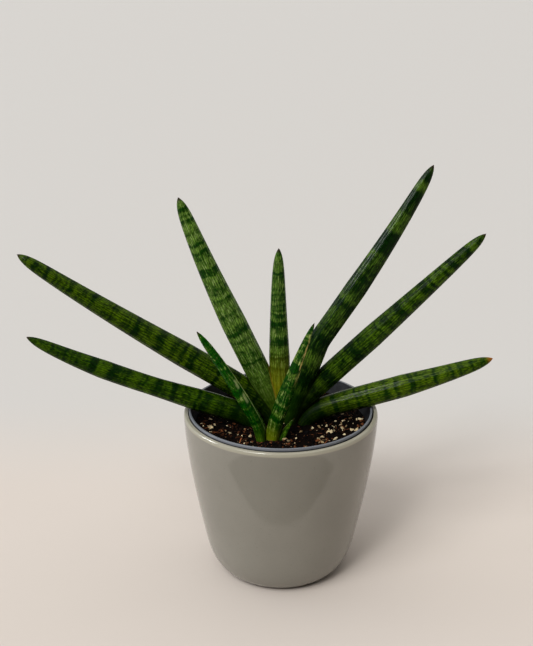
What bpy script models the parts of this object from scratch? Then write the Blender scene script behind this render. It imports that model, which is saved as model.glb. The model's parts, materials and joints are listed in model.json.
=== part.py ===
"""Cylindrical snake plant in its nursery pot and glazed cover pot.

Seven stout round leaves fan out in one upright plane. A small offshoot stands in front of the
fan. Both grow from one rhizome in the potting mix. Metres, +Z up, the origin on the table
under the middle of the cover pot, the fan across X and its front toward -Y.
"""

import math
from typing import NamedTuple

import bmesh
import bpy
from mathutils import Vector, noise

# Gap that pieces keep where they touch
SEAT_GAP = 0.0003
# Points nearer than this are one point
WELD = 0.0000005
# Gap round a stem or leaf base in what it grows through
GROWTH_GAP = 0.0006
# Gap round the rhizome, under the leaf bases and in the mix
RHIZOME_GAP = 0.0004

# Flats round the pots and the mix, alike so that they lie parallel
POT_SIDES = 40

# Cover pot, a turned glazed shell
COVER_HEIGHT = 0.1304
COVER_RIM_RADIUS = 0.0739
COVER_LIP = 0.0034
COVER_LIP_ROUND = 0.0016
COVER_LIP_EASE = 0.0006
COVER_LIP_DEPTH = 0.0040
COVER_SHOULDER = 0.0032
COVER_WALL = 0.0040
COVER_FLOOR = 0.0050
COVER_FOOT_RADIUS = 0.0430
COVER_CORNER_RADIUS = 0.0585
COVER_CORNER_HEIGHT = 0.0240
COVER_CORNER_PULL = 0.0050
COVER_FOOT_PULL = 0.0020
COVER_BOW_HEIGHT = 0.0950
COVER_BOW_INSET = 0.0007
COVER_FLOOR_INSET = 0.0030
COVER_GLAZE = (0.36, 0.34, 0.30)

# Nursery pot, a thin grower's pot that stands on the cover pot's floor
NURSERY_RIM_RADIUS = 0.06995
NURSERY_RISE_OVER_COVER = 0.0020
NURSERY_SHIFT = -0.0002
NURSERY_WALL = 0.0011
NURSERY_RIM_THICKNESS = 0.0017
NURSERY_RIM_DEPTH = 0.0080
NURSERY_EDGE = 0.0005
NURSERY_BODY_RADIUS = 0.0673
NURSERY_HEEL_RADIUS = 0.0455
NURSERY_HEEL_HEIGHT = 0.0072
NURSERY_FLOOR_RADIUS = 0.0400
NURSERY_PLASTIC = (0.055, 0.058, 0.066)
DRAIN_HOLE_COUNT = 6
DRAIN_HOLE_RADIUS = 0.0042
DRAIN_HOLE_CIRCLE = 0.0270
DRAIN_HOLE_PHASE = 0.53
DRAIN_HOLE_SIDES = 12

# Potting mix
MIX_DEPTH_UNDER_RIM = 0.0124
MIX_RINGS = 10
MIX_SWELL = 0.0011
MIX_SWELL_SIZE = 0.0170
MIX_CRUMB = 0.0008
MIX_CRUMB_SIZE = 0.0065
MIX_GRAIN_SIZE = 0.0038
MIX_SEED_OFFSET = 4.7
# Share of the radius past which the relief dies down, and what is left of it at the wall
MIX_EDGE_SHARE = 0.9
MIX_EDGE_RELIEF = 0.3
MIX_BROWN = (0.045, 0.028, 0.018)

# Rhizome: a crown under the fan, a runner and a small crown under the offshoot
FAN_Y = 0.0030
OFFSHOOT_Y = -0.0270
CROWN_CENTRE = (0.0010, FAN_Y, 0.1020)
CROWN_HALF_SIZE = (0.0175, 0.0085, 0.0070)
OFFSHOOT_CROWN_CENTRE = (-0.0070, OFFSHOOT_Y, 0.1040)
OFFSHOOT_CROWN_HALF_SIZE = (0.0090, 0.0075, 0.0060)
RUNNER_RADIUS = 0.0042
RUNNER_SAG = 0.0040
RUNNER_POINTS = 7
RHIZOME_SKIN = (0.55, 0.38, 0.20)

# Shape that all leaves share
CUTTER_SIDES = 16
CUTTER_REACH = 0.100
RING_CROWDING = 0.55
TIP_SHARE = 0.39
TIP_LENGTH = 0.0055
TAPER_POWER = 0.75
CURL_POWER = 2.5
FOOT_BEND_REACH = 0.020
CLASP_REACH = 0.034
FLARE_START = 0.040
FLARE_LENGTH = 0.065
RIDGE_HEIGHT = 0.00022
RIDGE_START = 0.030
RIDGE_LENGTH = 0.030
CHANNEL_START = 0.012
KINK_LENGTH = 0.010
AXIS_STEP = 0.0005
FAN_GREEN = (0.028, 0.095, 0.022)
OFFSHOOT_GREEN = (0.035, 0.150, 0.025)


class Leaf(NamedTuple):
    """Driving dimensions of one leaf. Angles are in degrees and rise from +X toward +Z."""

    name: str
    foot: tuple  # x and z where the axis starts, on the rhizome
    heading: float  # direction of the straight part
    foot_bend: float  # extra heading at the foot, fading over FOOT_BEND_REACH
    curl: float  # extra heading at the tip
    length: float
    radius: float  # half thickness at the widest of the tapered part
    taper: float  # length of the tapered part, from the tip
    clasp: float  # half width of the base, across the fan
    flatten: float  # share of the thickness that the base loses in the fan's plane
    flare: float = 0.0  # extra half thickness of the lower part
    channel: float = 0.0  # depth of the groove on the inner side
    channel_reach: float = 0.070
    lean: float = 0.0  # angle out of the fan's plane, toward +Y
    roll: float = 0.0  # turn of the section about the leaf's axis, toward -Y
    kink_at: float = 0.0
    kink_turn: float = 0.0
    plane_y: float = FAN_Y
    sides: int = 24
    rings: int = 19


# The fan from its youngest leaf outward: each leaf clasps those before it
FAN_LEAVES = (
    Leaf("leaf_centre", (0.0010, 0.1060), 92.0, 0.0, -3.0, 0.1515, 0.0076, 0.085,
         clasp=0.0066, flatten=0.26, lean=-0.5),
    Leaf("leaf_tall_left", (-0.0054, 0.1060), 115.5, -43.0, -6.5, 0.2030, 0.0094, 0.102,
         clasp=0.0085, flatten=0.34, channel=0.0016, lean=0.5),
    Leaf("leaf_tall_right", (0.0069, 0.1060), 69.5, 25.5, 7.5, 0.2375, 0.0080, 0.105,
         clasp=0.0084, flatten=0.26, flare=0.0008, channel=0.0014, lean=-1.0,
         kink_at=0.083, kink_turn=-13.0),
    Leaf("leaf_mid_left", (-0.0080, 0.1100), 149.0, -78.0, -4.0, 0.2420, 0.0095, 0.143,
         clasp=0.0100, flatten=0.32, channel=0.0016, lean=1.5),
    Leaf("leaf_mid_right", (0.0116, 0.1060), 44.0, 72.5, 1.0, 0.2190, 0.0084, 0.112,
         clasp=0.0099, flatten=0.28, channel=0.0020, lean=1.5),
    Leaf("leaf_low_left", (-0.0146, 0.1070), 159.0, -49.5, -11.5, 0.1975, 0.0068, 0.060,
         clasp=0.0112, flatten=0.25, flare=0.0020, channel=0.0012, lean=-8.0),
    Leaf("leaf_low_right", (0.0160, 0.1060), 16.0, 75.0, 5.5, 0.1655, 0.0085, 0.070,
         clasp=0.0112, flatten=0.25, channel=0.0012, lean=-1.0),
)

OFFSHOOT_LEAVES = (
    Leaf("offshoot_leaf_right", (-0.0080, 0.1070), 73.0, 13.5, -4.5, 0.1115, 0.0041, 0.060,
         clasp=0.0058, flatten=0.0, flare=0.0014, channel=0.0022, channel_reach=0.105,
         lean=-4.0, roll=50.0, plane_y=OFFSHOOT_Y, sides=16, rings=13),
    Leaf("offshoot_leaf_left", (-0.0125, 0.1070), 118.0, -27.0, 6.0, 0.1125, 0.0049, 0.068,
         clasp=0.0076, flatten=0.0, channel=0.0022, channel_reach=0.105,
         lean=-4.0, roll=25.0, plane_y=OFFSHOOT_Y, sides=16, rings=13),
    Leaf("offshoot_sheath_leaf", (-0.0030, 0.1090), 45.5, 31.0, 8.0, 0.0312, 0.0019, 0.024,
         clasp=0.0066, flatten=-0.8, lean=-3.0, roll=15.0, plane_y=OFFSHOOT_Y, sides=12, rings=8),
)


def clear_scene():
    for old in list(bpy.data.objects):
        bpy.data.objects.remove(old, do_unlink=True)


def new_collection(name):
    collection = bpy.data.collections.new(name)
    bpy.context.scene.collection.children.link(collection)
    return collection


def new_material(name, colour, roughness):
    material = bpy.data.materials.new(name)
    material.use_nodes = True
    shader = material.node_tree.nodes["Principled BSDF"]
    shader.inputs["Base Color"].default_value = (*colour, 1.0)
    shader.inputs["Roughness"].default_value = roughness
    shader.inputs["Metallic"].default_value = 0.0
    return material


def add_object(name, mesh, collection, location=(0.0, 0.0, 0.0), material=None):
    obj = bpy.data.objects.new(name, mesh)
    obj.location = location
    collection.objects.link(obj)
    if material:
        mesh.materials.append(material)
    return obj


def mark_as_cutter(obj):
    obj.hide_render = True
    obj.display_type = "WIRE"
    return obj


def smoothstep(value):
    value = min(max(value, 0.0), 1.0)
    return value * value * (3.0 - 2.0 * value)


def bend(start, control, end, count):
    """Points of a quadratic curve in (radius, height), without its start."""
    points = []
    for step in range(1, count + 1):
        t = step / count
        points.append(tuple((1 - t) ** 2 * a + 2 * t * (1 - t) * b + t * t * c
                            for a, b, c in zip(start, control, end)))
    return points


def smooth_mesh(mesh, angle=40.0):
    mesh.shade_smooth()
    mesh.set_sharp_from_angle(angle=math.radians(angle))


def turned(name, profile, collection, sides, material, location=(0.0, 0.0, 0.0)):
    """A closed body of revolution. The profile starts and ends on the axis."""
    mesh = bpy.data.meshes.new(name)
    points = [(radius, 0.0, height) for radius, height in profile]
    mesh.from_pydata(points, [(i, i + 1) for i in range(len(points) - 1)], [])
    obj = add_object(name, mesh, collection, location, material)
    screw = obj.modifiers.new("Turn", "SCREW")
    screw.axis = "Z"
    screw.steps = sides
    screw.render_steps = sides
    screw.use_merge_vertices = True
    screw.merge_threshold = 0.0001
    screw.use_smooth_shade = True
    return obj


def cover_pot_profile():
    """From the inner floor up the inside, over the lip, down the outside and under the foot."""
    inner_lip = COVER_RIM_RADIUS - COVER_LIP
    top = COVER_HEIGHT
    floor_edge = (COVER_FOOT_RADIUS - COVER_FLOOR_INSET, COVER_FLOOR)
    inner_corner = (COVER_CORNER_RADIUS - COVER_WALL, COVER_CORNER_HEIGHT)
    inner_top = (inner_lip, top - COVER_LIP_DEPTH)
    lip_top = (COVER_RIM_RADIUS - COVER_LIP_ROUND, top)
    wall_top = (COVER_RIM_RADIUS, top - COVER_SHOULDER)
    corner = (COVER_CORNER_RADIUS, COVER_CORNER_HEIGHT)
    foot = (COVER_FOOT_RADIUS, 0.0)
    profile = [(0.0, COVER_FLOOR), floor_edge]
    profile += bend(floor_edge, (inner_corner[0] - COVER_CORNER_PULL, COVER_FLOOR), inner_corner, 2)
    profile += bend(inner_corner, (inner_lip - COVER_BOW_INSET, COVER_BOW_HEIGHT), inner_top, 2)
    profile += bend((inner_lip, top - COVER_LIP_EASE), (inner_lip, top),
                    (inner_lip + COVER_LIP_EASE, top), 2)
    profile += [lip_top]
    profile += bend(lip_top, (COVER_RIM_RADIUS, top), wall_top, 3)
    profile += bend(wall_top, (COVER_RIM_RADIUS - COVER_BOW_INSET, COVER_BOW_HEIGHT), corner, 4)
    profile += bend(corner, (corner[0] - COVER_CORNER_PULL, COVER_FOOT_PULL), foot, 4)
    profile += [(0.0, 0.0)]
    return profile


def nursery_inside():
    """Inner wall of the nursery pot from its floor to under the rim, above its own foot."""
    height = COVER_HEIGHT + NURSERY_RISE_OVER_COVER - COVER_FLOOR - SEAT_GAP
    under_rim = height - NURSERY_RIM_DEPTH
    return (
        (NURSERY_FLOOR_RADIUS - NURSERY_WALL, NURSERY_WALL),
        (NURSERY_HEEL_RADIUS - NURSERY_WALL, NURSERY_HEEL_HEIGHT),
        (NURSERY_BODY_RADIUS - NURSERY_WALL, under_rim),
        (NURSERY_RIM_RADIUS - NURSERY_RIM_THICKNESS, height - NURSERY_EDGE),
    )


def nursery_pot_profile():
    height = COVER_HEIGHT + NURSERY_RISE_OVER_COVER - COVER_FLOOR - SEAT_GAP
    under_rim = height - NURSERY_RIM_DEPTH
    rim = NURSERY_RIM_RADIUS
    profile = [(0.0, NURSERY_WALL), *nursery_inside()]
    profile += [(rim - NURSERY_RIM_THICKNESS + NURSERY_EDGE, height), (rim - NURSERY_EDGE, height)]
    profile += [(rim, height - NURSERY_EDGE), (rim, under_rim + NURSERY_EDGE)]
    profile += [(rim - NURSERY_EDGE, under_rim), (NURSERY_BODY_RADIUS, under_rim)]
    profile += [(NURSERY_HEEL_RADIUS, NURSERY_HEEL_HEIGHT), (NURSERY_FLOOR_RADIUS, 0.0), (0.0, 0.0)]
    return profile


def make_cover_pot(parts):
    glaze = new_material("taupe glaze", COVER_GLAZE, 0.22)
    return turned("cover_pot", cover_pot_profile(), parts, POT_SIDES, glaze)


def make_nursery_pot(parts, cutters):
    plastic = new_material("charcoal plastic", NURSERY_PLASTIC, 0.45)
    seat = (NURSERY_SHIFT, 0.0, COVER_FLOOR + SEAT_GAP)
    pot = turned("nursery_pot", nursery_pot_profile(), parts, POT_SIDES, plastic, seat)
    for index in range(DRAIN_HOLE_COUNT):
        angle = math.tau * (index + DRAIN_HOLE_PHASE) / DRAIN_HOLE_COUNT
        place = (seat[0] + DRAIN_HOLE_CIRCLE * math.cos(angle), DRAIN_HOLE_CIRCLE * math.sin(angle),
                 seat[2] + NURSERY_WALL / 2)
        bpy.ops.mesh.primitive_cylinder_add(vertices=DRAIN_HOLE_SIDES, radius=DRAIN_HOLE_RADIUS,
                                            depth=4 * NURSERY_WALL, location=place)
        drill = mark_as_cutter(bpy.context.object)
        drill.name = f"drain_hole_{index + 1}"
        move_to(drill, cutters)
        add_cut(pot, drill)
    return pot


def move_to(obj, collection):
    for owner in list(obj.users_collection):
        owner.objects.unlink(obj)
    collection.objects.link(obj)


def add_cut(target, cutter, operation="DIFFERENCE", solver="EXACT"):
    cut = target.modifiers.new(f"{operation.title()} {cutter.name}", "BOOLEAN")
    cut.operation = operation
    cut.solver = solver
    cut.object = cutter


def keep_largest_body(mesh):
    """Drops the loose scraps that a cut leaves beside the main body."""
    bm = bmesh.new()
    bm.from_mesh(mesh)
    bmesh.ops.remove_doubles(bm, verts=bm.verts, dist=WELD)
    bmesh.ops.dissolve_degenerate(bm, edges=bm.edges, dist=WELD)
    unseen = set(bm.verts)
    bodies = []
    while unseen:
        body = set()
        edge_of_body = [unseen.pop()]
        while edge_of_body:
            vert = edge_of_body.pop()
            body.add(vert)
            near = {edge.other_vert(vert) for edge in vert.link_edges} & unseen
            unseen -= near
            edge_of_body.extend(near)
        bodies.append(body)
    bodies.sort(key=len)
    for scrap in bodies[:-1]:
        bmesh.ops.delete(bm, geom=list(scrap), context="VERTS")
    bm.to_mesh(mesh)
    bm.free()


def apply_cuts(obj):
    """Makes the cuts final and keeps one body."""
    bpy.context.view_layer.update()
    depsgraph = bpy.context.evaluated_depsgraph_get()
    mesh = bpy.data.meshes.new_from_object(obj.evaluated_get(depsgraph))
    obj.modifiers.clear()
    old = obj.data
    obj.data = mesh
    bpy.data.meshes.remove(old)
    mesh.name = obj.name
    keep_largest_body(mesh)
    smooth_mesh(mesh)


def leaf_heading(leaf, along):
    heading = leaf.heading + leaf.foot_bend * math.exp(-(along / FOOT_BEND_REACH) ** 2)
    heading += leaf.curl * (along / leaf.length) ** CURL_POWER
    if leaf.kink_turn:
        heading += leaf.kink_turn * smoothstep((along - leaf.kink_at) / KINK_LENGTH + 0.5)
    return math.radians(heading)


def leaf_axis(leaf, stations):
    """Points of the leaf's axis from its foot, one for each distance in stations."""
    lean = math.radians(leaf.lean)
    x = 0.0
    z = 0.0
    along = 0.0
    points = []
    for station in stations:
        while along < station - 1e-9:
            step = min(AXIS_STEP, station - along)
            heading = leaf_heading(leaf, along + step / 2)
            x += step * math.cos(heading) * math.cos(lean)
            z += step * math.sin(heading) * math.cos(lean)
            along += step
        points.append(Vector((x, station * math.sin(lean), z)))
    return points


def leaf_section(leaf, along):
    """Half thickness, half width, groove depth and ridge height at a distance from the foot."""
    from_tip = leaf.length - along
    swell = TIP_SHARE * (1.0 - math.exp(-from_tip / TIP_LENGTH))
    swell += (1.0 - TIP_SHARE) * min(1.0, from_tip / leaf.taper) ** TAPER_POWER
    radius = leaf.radius * swell
    radius += leaf.flare * (1.0 - smoothstep((along - FLARE_START) / FLARE_LENGTH))
    base = 1.0 - smoothstep(along / CLASP_REACH)
    thick = radius * (1.0 - leaf.flatten * base)
    wide = radius + (leaf.clasp - radius) * base
    groove = leaf.channel * smoothstep(along / CHANNEL_START) * swell
    groove *= 1.0 - smoothstep((along - CHANNEL_START) / (leaf.channel_reach - CHANNEL_START))
    ridge = RIDGE_HEIGHT * smoothstep((along - RIDGE_START) / RIDGE_LENGTH) * swell
    return thick, wide, groove, ridge


def leaf_ring(leaf, along, centre, sides, grow):
    """One section of the leaf: an ellipse with shallow ridges and a groove on its inner side."""
    thick, wide, groove, ridge = leaf_section(leaf, along)
    heading = leaf_heading(leaf, along)
    side = 1.0 if leaf.heading < 90.0 else -1.0
    inward = Vector((-side * math.sin(heading), 0.0, side * math.cos(heading)))
    across = Vector((0.0, -1.0, 0.0))
    roll = math.radians(leaf.roll)
    inward, across = (inward * math.cos(roll) + across * math.sin(roll),
                      across * math.cos(roll) - inward * math.sin(roll))
    if grow:
        groove = 0.0
        ridge = 0.0
    ring = []
    for index in range(sides):
        angle = math.tau * index / sides
        rib = ridge if index % 2 else -ridge
        depth = (thick + rib + grow) * math.sin(angle)
        depth -= groove * max(0.0, math.sin(angle)) ** 3
        width = (wide + rib + grow) * math.cos(angle)
        ring.append(centre + inward * depth + across * width)
    return ring


def crowded_stations(length, count):
    """Distances from 0 to length, closer together at both ends."""
    stations = []
    for index in range(count):
        share = index / count
        share -= RING_CROWDING * math.sin(math.tau * share) / math.tau
        stations.append(length * share)
    return stations


def loft(name, rings, tip, collection, location, material=None):
    """A closed body through rings of equal size, flat at the foot and pointed at the tip."""
    bm = bmesh.new()
    loops = [[bm.verts.new(point) for point in ring] for ring in rings]
    sides = len(loops[0])
    for lower, upper in zip(loops, loops[1:]):
        for i in range(sides):
            j = (i + 1) % sides
            bm.faces.new((lower[i], lower[j], upper[j], upper[i]))
    end = bm.verts.new(tip)
    for i in range(sides):
        bm.faces.new((loops[-1][i], loops[-1][(i + 1) % sides], end))
    bm.faces.new(reversed(loops[0]))
    bmesh.ops.recalc_face_normals(bm, faces=bm.faces)
    mesh = bpy.data.meshes.new(name)
    bm.to_mesh(mesh)
    bm.free()
    smooth_mesh(mesh)
    return add_object(name, mesh, collection, location, material)


def make_leaf(leaf, collection, material):
    stations = crowded_stations(leaf.length, leaf.rings)
    points = leaf_axis(leaf, stations + [leaf.length])
    rings = [leaf_ring(leaf, along, centre, leaf.sides, 0.0)
             for along, centre in zip(stations, points)]
    place = (leaf.foot[0], leaf.plane_y, leaf.foot[1])
    return loft(leaf.name, rings, points[-1], collection, place, material)


def make_leaf_cutter(leaf, cutters):
    """The lower part of a leaf, plain and a little larger, to cut what lies round it."""
    stations = [along for along in crowded_stations(leaf.length, leaf.rings) if along < CUTTER_REACH]
    points = leaf_axis(leaf, stations + [stations[-1] + GROWTH_GAP])
    points[0] = points[0] - (points[1] - points[0]).normalized() * GROWTH_GAP
    rings = [leaf_ring(leaf, along, centre, CUTTER_SIDES, GROWTH_GAP)
             for along, centre in zip(stations, points)]
    place = (leaf.foot[0], leaf.plane_y, leaf.foot[1])
    return mark_as_cutter(loft(f"round_{leaf.name}", rings, points[-1], cutters, place))


def make_shoot(leaves, crown, parts, cutters, material):
    """Leaves that clasp one another: each is cut by those inside it and by the crown."""
    inside = [crown]
    for leaf in leaves:
        piece = make_leaf(leaf, parts, material(leaf.name))
        for cutter in inside:
            add_cut(piece, cutter, solver="MANIFOLD")
        apply_cuts(piece)
        inside.append(make_leaf_cutter(leaf, cutters))
    return inside[1:]


def ellipsoid(name, centre, half_size, collection):
    mesh = bpy.data.meshes.new(name)
    bm = bmesh.new()
    bmesh.ops.create_uvsphere(bm, u_segments=18, v_segments=10, radius=1.0)
    bmesh.ops.scale(bm, vec=half_size, verts=bm.verts)
    bm.to_mesh(mesh)
    bm.free()
    return add_object(name, mesh, collection, centre)


def runner_tube(name, radius, collection):
    """The underground runner between the two crowns, as a closed tube."""
    start = Vector(CROWN_CENTRE)
    end = Vector(OFFSHOOT_CROWN_CENTRE)
    sag = Vector((0.0, 0.0, -RUNNER_SAG))
    curve = bpy.data.curves.new(name, "CURVE")
    curve.dimensions = "3D"
    curve.bevel_depth = radius
    curve.bevel_resolution = 3
    curve.use_fill_caps = True
    spline = curve.splines.new("POLY")
    spline.points.add(RUNNER_POINTS - 1)
    for index, point in enumerate(spline.points):
        share = index / (RUNNER_POINTS - 1)
        place = start.lerp(end, share) + sag * math.sin(math.pi * share)
        point.co = (*place, 1.0)
    guide = bpy.data.objects.new(name, curve)
    collection.objects.link(guide)
    bpy.context.view_layer.update()
    depsgraph = bpy.context.evaluated_depsgraph_get()
    mesh = bpy.data.meshes.new_from_object(guide.evaluated_get(depsgraph))
    bm = bmesh.new()
    bm.from_mesh(mesh)
    bmesh.ops.remove_doubles(bm, verts=bm.verts, dist=WELD)
    bmesh.ops.recalc_face_normals(bm, faces=bm.faces)
    bm.to_mesh(mesh)
    bm.free()
    bpy.data.objects.remove(guide, do_unlink=True)
    return add_object(name, mesh, collection)


def rhizome_body(name, grow, collection, cutters):
    """Both crowns and the runner in one body, larger all round by grow."""
    def larger(half_size):
        return tuple(half + grow for half in half_size)
    body = ellipsoid(name, CROWN_CENTRE, larger(CROWN_HALF_SIZE), collection)
    small = ellipsoid(f"{name}_offshoot_crown", OFFSHOOT_CROWN_CENTRE,
                      larger(OFFSHOOT_CROWN_HALF_SIZE), cutters)
    runner = runner_tube(f"{name}_runner", RUNNER_RADIUS + grow, cutters)
    for piece in (runner, small):
        add_cut(body, piece, "UNION")
    apply_cuts(body)
    for piece in (runner, small):
        bpy.data.objects.remove(piece, do_unlink=True)
    return body


def mix_relief(x, y):
    """Height of the crumbly surface over its mean level."""
    place = Vector((x, y, MIX_SEED_OFFSET))
    swell = MIX_SWELL * noise.noise(place / MIX_SWELL_SIZE)
    crumb = noise.noise(place / MIX_CRUMB_SIZE) + 0.5 * noise.noise(place / MIX_GRAIN_SIZE)
    return swell + MIX_CRUMB * crumb


def make_potting_mix(parts, material):
    """Fills the nursery pot from its floor to the crumbly surface under the rim."""
    foot = COVER_FLOOR + SEAT_GAP
    level = COVER_HEIGHT + NURSERY_RISE_OVER_COVER - MIX_DEPTH_UNDER_RIM
    floor, heel, shoulder, _ = nursery_inside()
    slope = (shoulder[0] - heel[0]) / (shoulder[1] - heel[1])
    top_radius = heel[0] + slope * (level - foot - heel[1]) - SEAT_GAP
    bm = bmesh.new()
    rings = []
    for ring in range(1, MIX_RINGS + 1):
        share = ring / MIX_RINGS
        loop = []
        for side in range(POT_SIDES):
            angle = math.tau * side / POT_SIDES
            x = top_radius * share * math.cos(angle)
            y = top_radius * share * math.sin(angle)
            calm = smoothstep((share - MIX_EDGE_SHARE) / (1.0 - MIX_EDGE_SHARE))
            relief = mix_relief(x, y) * (1.0 - (1.0 - MIX_EDGE_RELIEF) * calm)
            loop.append(bm.verts.new((x, y, level + relief)))
        rings.append(loop)
    for radius, height in ((heel[0] - SEAT_GAP, foot + heel[1]), (floor[0] - SEAT_GAP, foot + floor[1])):
        height += SEAT_GAP
        rings.append([bm.verts.new((radius * math.cos(math.tau * side / POT_SIDES),
                                    radius * math.sin(math.tau * side / POT_SIDES), height))
                      for side in range(POT_SIDES)])
    centre = bm.verts.new((0.0, 0.0, level + mix_relief(0.0, 0.0)))
    for i in range(POT_SIDES):
        bm.faces.new((centre, rings[0][i], rings[0][(i + 1) % POT_SIDES]))
    for inner, outer in zip(rings, rings[1:]):
        for i in range(POT_SIDES):
            j = (i + 1) % POT_SIDES
            bm.faces.new((inner[i], outer[i], outer[j], inner[j]))
    bm.faces.new(rings[-1])
    bmesh.ops.recalc_face_normals(bm, faces=bm.faces)
    mesh = bpy.data.meshes.new("potting_mix")
    bm.to_mesh(mesh)
    bm.free()
    smooth_mesh(mesh)
    return add_object("potting_mix", mesh, parts, (NURSERY_SHIFT, 0.0, 0.0), material)


def leaf_material(name):
    green = OFFSHOOT_GREEN if name.startswith("offshoot") else FAN_GREEN
    return new_material(f"{name} green", green, 0.38)


def build():
    clear_scene()
    parts = new_collection("cylindrical_snake_plant")
    cutters = new_collection("cutters")
    stand = bpy.data.objects.new("stand_point", None)
    parts.objects.link(stand)
    make_cover_pot(parts)
    make_nursery_pot(parts, cutters)
    rhizome = rhizome_body("rhizome", 0.0, parts, cutters)
    rhizome.data.materials.append(new_material("rhizome skin", RHIZOME_SKIN, 0.6))
    round_rhizome = mark_as_cutter(rhizome_body("round_rhizome", RHIZOME_GAP, cutters, cutters))
    growth = make_shoot(FAN_LEAVES, round_rhizome, parts, cutters, leaf_material)
    growth += make_shoot(OFFSHOOT_LEAVES, round_rhizome, parts, cutters, leaf_material)
    mix = make_potting_mix(parts, new_material("potting mix", MIX_BROWN, 0.9))
    for cutter in (round_rhizome, *growth):
        add_cut(mix, cutter, solver="MANIFOLD")
    apply_cuts(mix)
    for piece in parts.objects:
        if piece is not stand:
            piece.parent = stand


build()
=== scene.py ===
"""Cylindrical snake plant in its nursery pot and glazed cover pot: the finish.

Every leaf is grown again from the rule of its solid, with fine ribs, veins and cross-bands.
Metres, +Z up, the fan across X and its front toward -Y. Patterns on the leaves are in millimetres.
"""

import json
import math
from typing import NamedTuple

import bmesh
import bpy
import numpy as np
from mathutils import Matrix, Vector, noise
from mathutils.bvhtree import BVHTree

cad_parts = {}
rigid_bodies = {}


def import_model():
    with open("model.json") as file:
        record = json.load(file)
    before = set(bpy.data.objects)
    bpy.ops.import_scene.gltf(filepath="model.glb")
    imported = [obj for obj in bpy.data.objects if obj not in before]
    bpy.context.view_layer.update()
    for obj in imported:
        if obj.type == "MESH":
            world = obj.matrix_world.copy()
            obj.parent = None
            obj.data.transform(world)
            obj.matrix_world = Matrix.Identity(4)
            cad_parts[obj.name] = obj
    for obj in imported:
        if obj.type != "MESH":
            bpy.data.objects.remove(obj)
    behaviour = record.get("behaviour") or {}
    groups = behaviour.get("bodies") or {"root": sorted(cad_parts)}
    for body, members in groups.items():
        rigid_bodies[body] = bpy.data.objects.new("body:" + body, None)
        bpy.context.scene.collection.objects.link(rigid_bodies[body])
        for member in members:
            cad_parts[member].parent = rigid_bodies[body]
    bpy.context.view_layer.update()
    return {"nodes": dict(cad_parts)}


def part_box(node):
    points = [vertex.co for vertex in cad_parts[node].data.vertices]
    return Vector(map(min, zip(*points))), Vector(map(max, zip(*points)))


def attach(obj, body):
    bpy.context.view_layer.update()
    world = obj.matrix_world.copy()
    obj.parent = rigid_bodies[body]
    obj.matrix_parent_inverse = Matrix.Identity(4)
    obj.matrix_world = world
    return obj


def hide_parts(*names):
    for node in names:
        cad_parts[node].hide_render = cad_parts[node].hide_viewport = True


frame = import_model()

MM = 0.001
cover_low, cover_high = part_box("cover_pot")
nursery_low, nursery_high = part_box("nursery_pot")
mix_low, mix_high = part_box("potting_mix")

# Camera of the photograph, above the plant and looking down at it
PHOTO_HEIGHT = 646
FOCAL_PIXELS = 1000
SENSOR = 36.0
CAMERA_PLACE = (-0.0109, -0.694, 0.458)
CAMERA_PITCH = 20.36
CAMERA_CLIP = (0.01, 50.0)

# Cover pot
COVER_HEIGHT = cover_high.z
COVER_RIM_RADIUS = (cover_high.x - cover_low.x) / 2
COVER_LIP = 0.0034
COVER_LIP_ROUND = 0.0016
COVER_LIP_EASE = 0.0006
COVER_LIP_DEPTH = 0.004
COVER_SHOULDER = 0.0032
COVER_WALL = 0.004
COVER_FLOOR = 0.005
COVER_FOOT_RADIUS = 0.043
COVER_CORNER_RADIUS = 0.0585
COVER_CORNER_HEIGHT = 0.024
COVER_CORNER_PULL = 0.005
COVER_FOOT_PULL = 0.002
COVER_BOW_HEIGHT = 0.095
COVER_BOW_INSET = 0.0007
COVER_FLOOR_INSET = 0.003

# Nursery pot
NURSERY_SHIFT = (nursery_high.x + nursery_low.x) / 2
NURSERY_FOOT = nursery_low.z
NURSERY_HEIGHT = nursery_high.z - nursery_low.z
NURSERY_RIM_RADIUS = (nursery_high.x - nursery_low.x) / 2
NURSERY_WALL = 0.0011
NURSERY_RIM_THICKNESS = 0.0017
NURSERY_RIM_DEPTH = 0.008
NURSERY_EDGE = 0.0005
NURSERY_BODY_RADIUS = 0.0673
NURSERY_HEEL_RADIUS = 0.0455
NURSERY_HEEL_HEIGHT = 0.0072
NURSERY_FLOOR_RADIUS = 0.04
DRAIN_HOLE_COUNT = 6
DRAIN_HOLE_RADIUS = 0.0042
DRAIN_HOLE_CIRCLE = 0.027
DRAIN_HOLE_PHASE = 0.53
TURNED_SIDES = 224

# Potting mix
MIX_LEVEL = 0.12
MIX_FOOT = mix_low.z
MIX_RADIUS = (mix_high.x - mix_low.x) / 2
MIX_FLOOR_RADIUS = 0.0386
MIX_HEEL_RADIUS = 0.0441
MIX_RINGS = 96
MIX_RING_POWER = 0.8  # below 1 the rings crowd toward the rim
MIX_SIDES = 260
MIX_SEED_OFFSET = 4.7
MIX_RELIEF = ((0.0011, 0.017), (0.0008, 0.0065), (0.0004, 0.0038), (0.00045, 0.0016))
MIX_EDGE_SHARE = 0.9
MIX_EDGE_RELIEF = 0.3

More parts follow.
